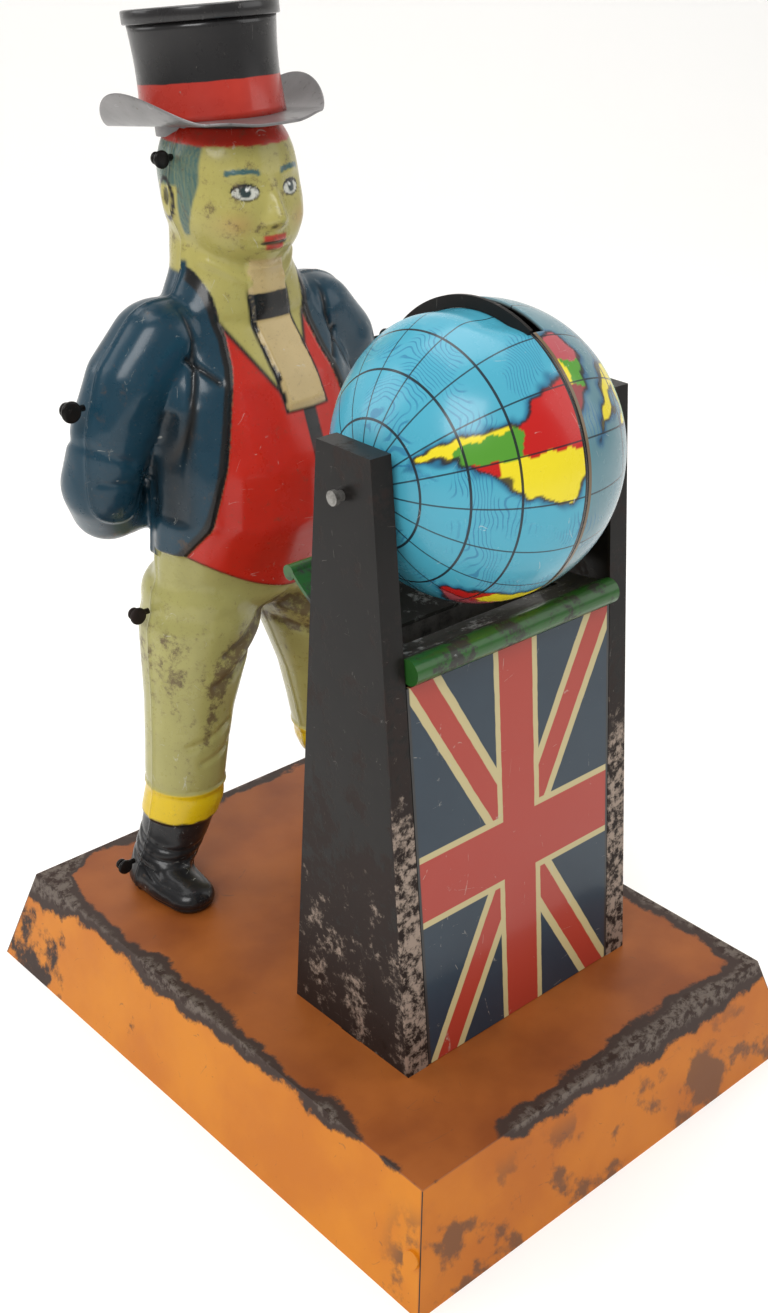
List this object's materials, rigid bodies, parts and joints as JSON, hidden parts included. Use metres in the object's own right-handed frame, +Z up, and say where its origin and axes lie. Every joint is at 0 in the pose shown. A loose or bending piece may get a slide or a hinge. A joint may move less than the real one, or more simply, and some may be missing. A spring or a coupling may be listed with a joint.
{
  "type": "mechanical coin bank",
  "caption": "Tinplate mechanical bank: a stout gentleman in a top hat behind a turning globe held between two pylons, on a hollow tray base with a coin door.",
  "frame": {"origin": "middle of the base's underside, on the surface that the bank stands on", "axes": "+Z up; -Y is the front, where the flag panel faces; the globe's axle lies along X"},
  "size_m": [0.0924, 0.1194, 0.1648],
  "materials": {
    "orange_tin": "worn semi-gloss",
    "bare_tin": "dull",
    "bright_steel": "polished",
    "black_paint": "worn gloss",
    "flag_litho": "gloss print",
    "green_paint": "gloss",
    "globe_litho": "gloss print",
    "figure_litho": "gloss print",
    "coat_litho": "gloss print",
    "brim_metal": "worn semi-gloss",
    "tab_tin": "semi-gloss"
  },
  "bodies": {
    "frame": {"base_tray": "orange_tin", "base_plate": "bare_tin", "door_hinge_pin": "bright_steel", "pylon_left": "black_paint", "pylon_right": "black_paint", "front_panel": "flag_litho", "globe_cradle": "green_paint", "coin_chute": "bare_tin", "globe_axle": "bright_steel", "figure_front_shell": "figure_litho", "figure_back_shell": "coat_litho", "head_tab": "tab_tin", "arm_tabs": "tab_tin", "leg_tabs": "tab_tin", "boot_tabs": "tab_tin", "hat_crown": "black_paint", "hat_top_disc": "black_paint", "hat_brim": "brim_metal", "hat_pin": "brim_metal"},
    "globe": {"globe_left_half": "globe_litho", "globe_right_half": "globe_litho", "slot_lip": "black_paint"},
    "door": {"coin_door": "bare_tin", "lock_barrel": "bright_steel"},
    "cam": {"lock_cam": "bright_steel"}
  },
  "joints": [
    {"name": "globe_turn", "type": "hinge", "parent": "frame", "child": "globe", "pos_m": [0, -0.0198, 0.1116], "axis": [1, 0, 0], "continuous": true},
    {"name": "door_swing", "type": "hinge", "parent": "frame", "child": "door", "pos_m": [0, 0.004, 0.0013], "axis": [-1, 0, 0], "range_deg": [0, 105]},
    {"name": "lock_turn", "type": "hinge", "parent": "door", "child": "cam", "pos_m": [0, 0.034, 0.0035], "axis": [0, 0, 1], "range_deg": [0, 90]}
  ]
}
